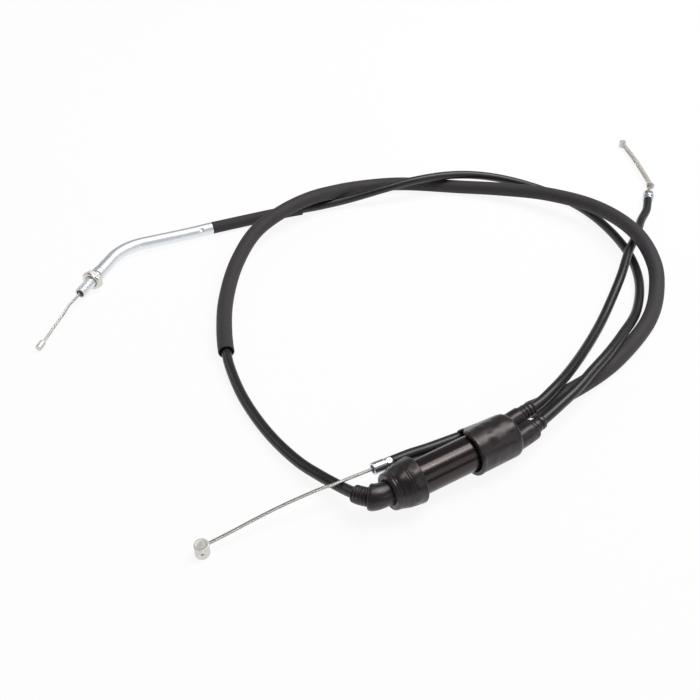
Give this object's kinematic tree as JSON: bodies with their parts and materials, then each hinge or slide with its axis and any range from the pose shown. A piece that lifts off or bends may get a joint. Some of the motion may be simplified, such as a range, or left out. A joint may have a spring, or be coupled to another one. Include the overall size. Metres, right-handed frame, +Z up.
{
  "type": "throttle cable with splitter",
  "caption": "Two-stroke throttle cable with a splitter: pull cable from the grip, branches to carburettor and oil pump, lying in a loose loop.",
  "frame": {"origin": "centre of the splitter's footprint on the surface it lies on; the cables are left out of this", "axes": "+X along the splitter towards its two outlets, +Z up, +Y away from the viewer of the picture"},
  "size_m": [0.4138, 0.2487, 0.021],
  "materials": {
    "black_plastic": "satin",
    "acetal": "satin",
    "rubber": "matte",
    "brass": "satin",
    "steel_wire": "satin",
    "sheath": "satin",
    "sleeve": "matte",
    "zinc": "gloss",
    "nickel": "gloss",
    "cast_zinc": "matte",
    "milky_tube": "satin"
  },
  "bodies": {
    "cable_set": {"splitter_body": "black_plastic", "inlet_cap": "acetal", "outlet_cap": "acetal", "inlet_boot": "rubber", "inlet_guide": "rubber", "inlet_relief": "rubber", "outlet_boot": "rubber", "carb_relief": "rubber", "pump_relief": "rubber", "throttle_sheath_entry": "sheath", "throttle_sheath": "sheath", "throttle_sheath_end": "sheath", "carb_sheath_root": "sheath", "carb_sheath": "sheath", "pump_sheath_root": "sheath", "pump_sheath": "sheath", "throttle_sleeve": "sleeve", "carb_tight_sleeve": "sleeve", "throttle_ferrule": "zinc", "carb_elbow": "zinc", "pump_ferrule": "zinc"},
    "slider_set": {"slider": "acetal", "throttle_anchor": "brass", "carb_anchor": "brass", "pump_anchor": "brass", "throttle_inner_wire": "steel_wire", "carb_inner_wire": "steel_wire", "pump_inner_wire": "steel_wire"},
    "throttle_end": {"throttle_wire": "steel_wire", "throttle_nipple": "cast_zinc"},
    "carb_end": {"carb_wire": "steel_wire", "carb_nipple": "cast_zinc"},
    "pump_end": {"pump_wire": "steel_wire", "pump_wire_tube": "milky_tube", "pump_bead": "milky_tube", "pump_nipple": "cast_zinc"},
    "lock_nut": {"carb_lock_nut": "nickel"}
  },
  "joints": [
    {"name": "throttle_pull", "type": "slide", "parent": "cable_set", "child": "throttle_end", "axis": [-0.9976, 0.0698, 0], "range_m": [-0.008, 0.008]},
    {"name": "slider_travel", "type": "slide", "parent": "cable_set", "child": "slider_set", "axis": [-1, 0, 0], "range_m": [-0.008, 0.008]},
    {"name": "carb_travel", "type": "slide", "parent": "cable_set", "child": "carb_end", "axis": [0.7581, 0.6521, 0], "range_m": [-0.008, 0.008]},
    {"name": "pump_travel", "type": "slide", "parent": "cable_set", "child": "pump_end", "axis": [-0.7431, -0.6691, 0], "range_m": [-0.008, 0.008]},
    {"name": "nut_turn", "type": "hinge", "parent": "cable_set", "child": "lock_nut", "pos_m": [-0.08528, 0.21184, 0.0061], "axis": [-0.7581, -0.6521, 0], "continuous": true}
  ],
  "couplings": [
    {"joint": "slider_travel", "follows": "throttle_pull", "ratio": 1},
    {"joint": "carb_travel", "follows": "throttle_pull", "ratio": 1},
    {"joint": "pump_travel", "follows": "throttle_pull", "ratio": 1}
  ]
}
